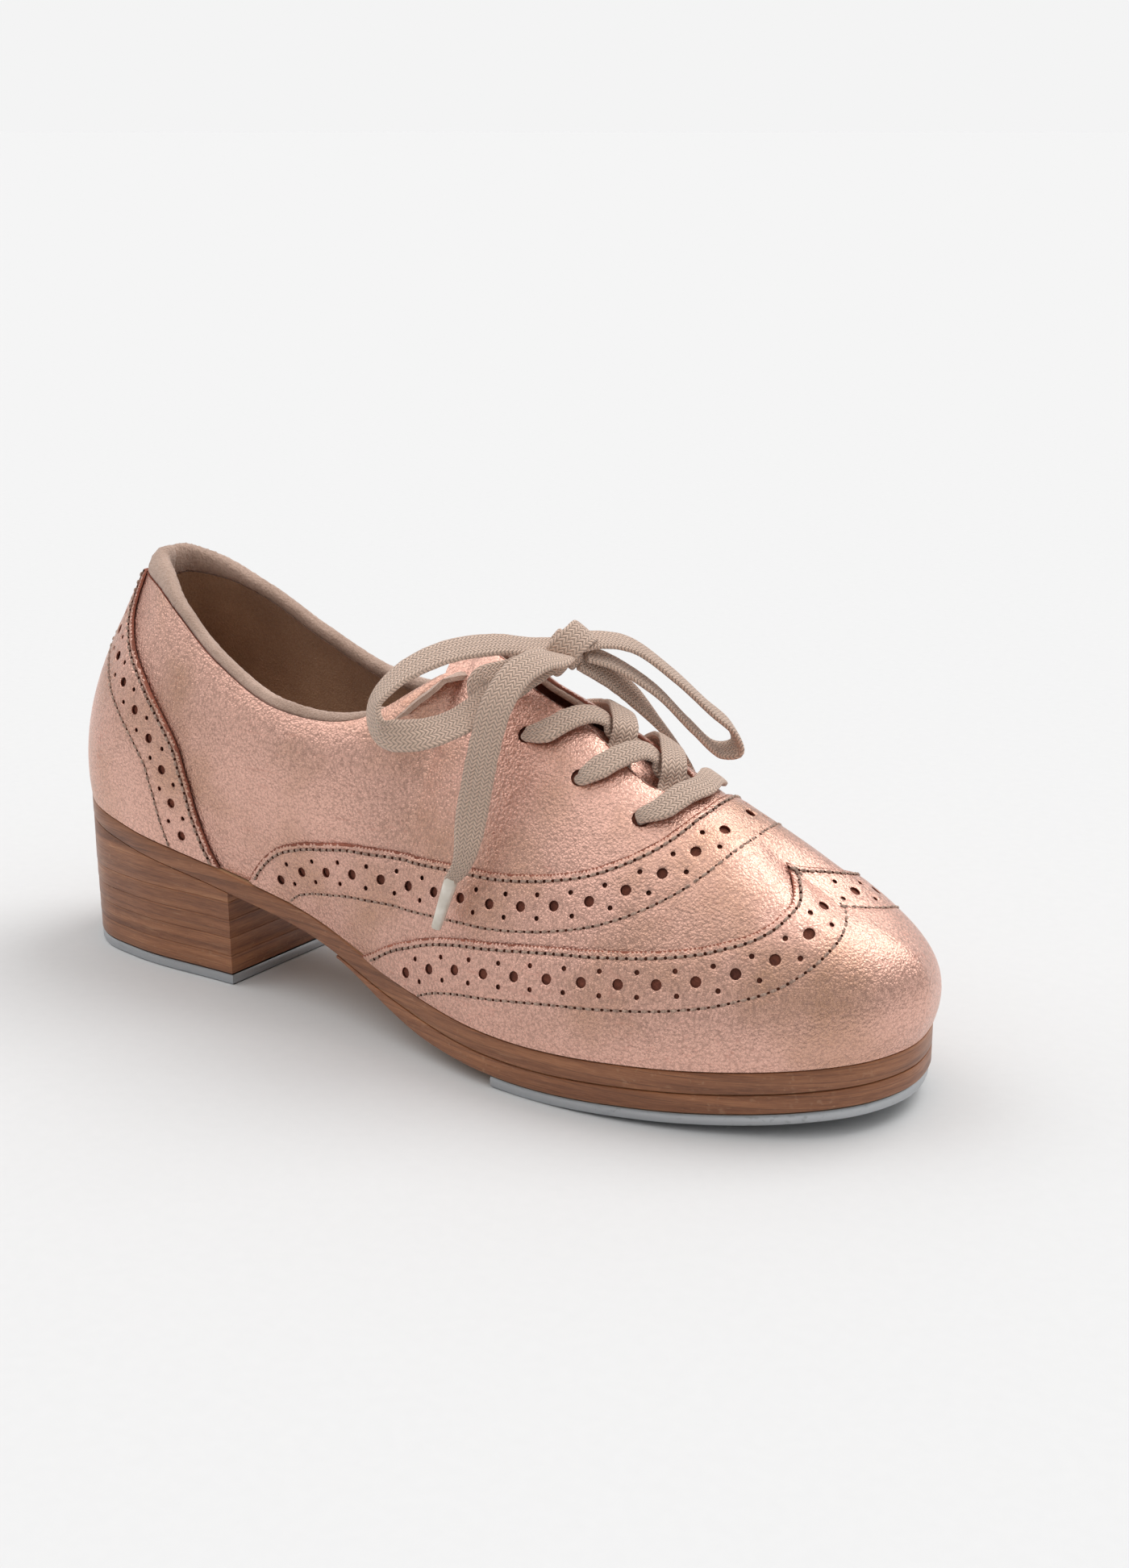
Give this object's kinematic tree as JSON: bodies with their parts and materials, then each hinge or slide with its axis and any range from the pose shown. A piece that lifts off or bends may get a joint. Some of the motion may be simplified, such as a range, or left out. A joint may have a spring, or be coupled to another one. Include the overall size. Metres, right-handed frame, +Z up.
{
  "type": "tap shoe",
  "caption": "Right-foot oxford tap shoe with perforated wingtip overlays, flat laces, stacked heel and screwed-on metal taps at toe and heel.",
  "frame": {"origin": "middle of the shoe's footprint on the floor, without the bow", "axes": "+X towards the toe, +Y towards the inner (medial) side, +Z up"},
  "size_m": [0.2516, 0.0876, 0.109],
  "materials": {
    "rose_leather": "metallic satin",
    "felt_lining": "brushed",
    "sole_leather": "waxed edge",
    "insole_board": "matt",
    "cork": "matt",
    "stiffener": "matt",
    "steel": "satin",
    "aluminium": "satin",
    "cotton_lace": "braided",
    "clear_plastic": "gloss"
  },
  "bodies": {
    "shoe": {"quarter_lateral": "rose_leather", "quarter_medial": "rose_leather", "vamp": "rose_leather", "wingtip": "rose_leather", "heel_foxing": "rose_leather", "quarter_lining_lateral": "felt_lining", "quarter_lining_medial": "felt_lining", "vamp_lining": "felt_lining", "collar_binding": "felt_lining", "sock_lining": "felt_lining", "outsole": "sole_leather", "forefoot_sole": "sole_leather", "heel_seat_lift": "sole_leather", "heel_lift_1": "sole_leather", "heel_lift_2": "sole_leather", "heel_lift_3": "sole_leather", "heel_lift_4": "sole_leather", "insole": "insole_board", "cork_filler": "cork", "heel_counter": "stiffener", "toe_puff": "stiffener", "shank": "steel", "heel_screw": "steel", "heel_nail_1": "steel", "heel_nail_2": "steel", "heel_nail_3": "steel", "heel_nail_4": "steel", "toe_tap": "aluminium", "heel_tap": "aluminium", "lace_bar": "cotton_lace", "lace_under_2_lateral": "cotton_lace", "lace_over_2_medial": "cotton_lace", "lace_under_3_lateral": "cotton_lace", "lace_over_3_medial": "cotton_lace", "lace_tie_lateral": "cotton_lace", "lace_tie_medial": "cotton_lace", "lace_knot": "cotton_lace", "lace_loop_lateral": "cotton_lace", "lace_loop_medial": "cotton_lace", "lace_end_lateral": "cotton_lace", "lace_end_medial": "cotton_lace", "aglet_lateral": "clear_plastic", "aglet_medial": "clear_plastic"},
    "tongue": {"tongue": "rose_leather"},
    "toe_tap_screw_back_outer": {"toe_tap_screw_back_outer": "steel"},
    "toe_tap_screw_back_inner": {"toe_tap_screw_back_inner": "steel"},
    "toe_tap_screw_front": {"toe_tap_screw_front": "steel"},
    "heel_tap_screw_back": {"heel_tap_screw_back": "steel"},
    "heel_tap_screw_front_outer": {"heel_tap_screw_front_outer": "steel"},
    "heel_tap_screw_front_inner": {"heel_tap_screw_front_inner": "steel"}
  },
  "joints": [
    {"name": "tongue_flex", "type": "hinge", "parent": "shoe", "child": "tongue", "pos_m": [0.08105, 0.0002, 0.0561], "axis": [0, -1, 0], "range_deg": [0, 12], "stiffness_Nm_per_rad": 0.06, "springref_deg": -8.59},
    {"name": "toe_tap_screw_back_outer_turn", "type": "hinge", "parent": "shoe", "child": "toe_tap_screw_back_outer", "pos_m": [0.04905, -0.02008, 0.0041], "axis": [0, 0, -1], "range_deg": [0, 180]},
    {"name": "toe_tap_screw_back_inner_turn", "type": "hinge", "parent": "shoe", "child": "toe_tap_screw_back_inner", "pos_m": [0.04905, 0.02048, 0.0041], "axis": [0, 0, -1], "range_deg": [0, 180]},
    {"name": "toe_tap_screw_front_turn", "type": "hinge", "parent": "shoe", "child": "toe_tap_screw_front", "pos_m": [0.10505, 0.0041, 0.0041], "axis": [0, 0, -1], "range_deg": [0, 180]},
    {"name": "heel_tap_screw_back_turn", "type": "hinge", "parent": "shoe", "child": "heel_tap_screw_back", "pos_m": [-0.11095, 0.0002, 0.0041], "axis": [0, 0, -1], "range_deg": [0, 180]},
    {"name": "heel_tap_screw_front_outer_turn", "type": "hinge", "parent": "shoe", "child": "heel_tap_screw_front_outer", "pos_m": [-0.07395, -0.01548, 0.0041], "axis": [0, 0, -1], "range_deg": [0, 180]},
    {"name": "heel_tap_screw_front_inner_turn", "type": "hinge", "parent": "shoe", "child": "heel_tap_screw_front_inner", "pos_m": [-0.07395, 0.01532, 0.0041], "axis": [0, 0, -1], "range_deg": [0, 180]}
  ]
}
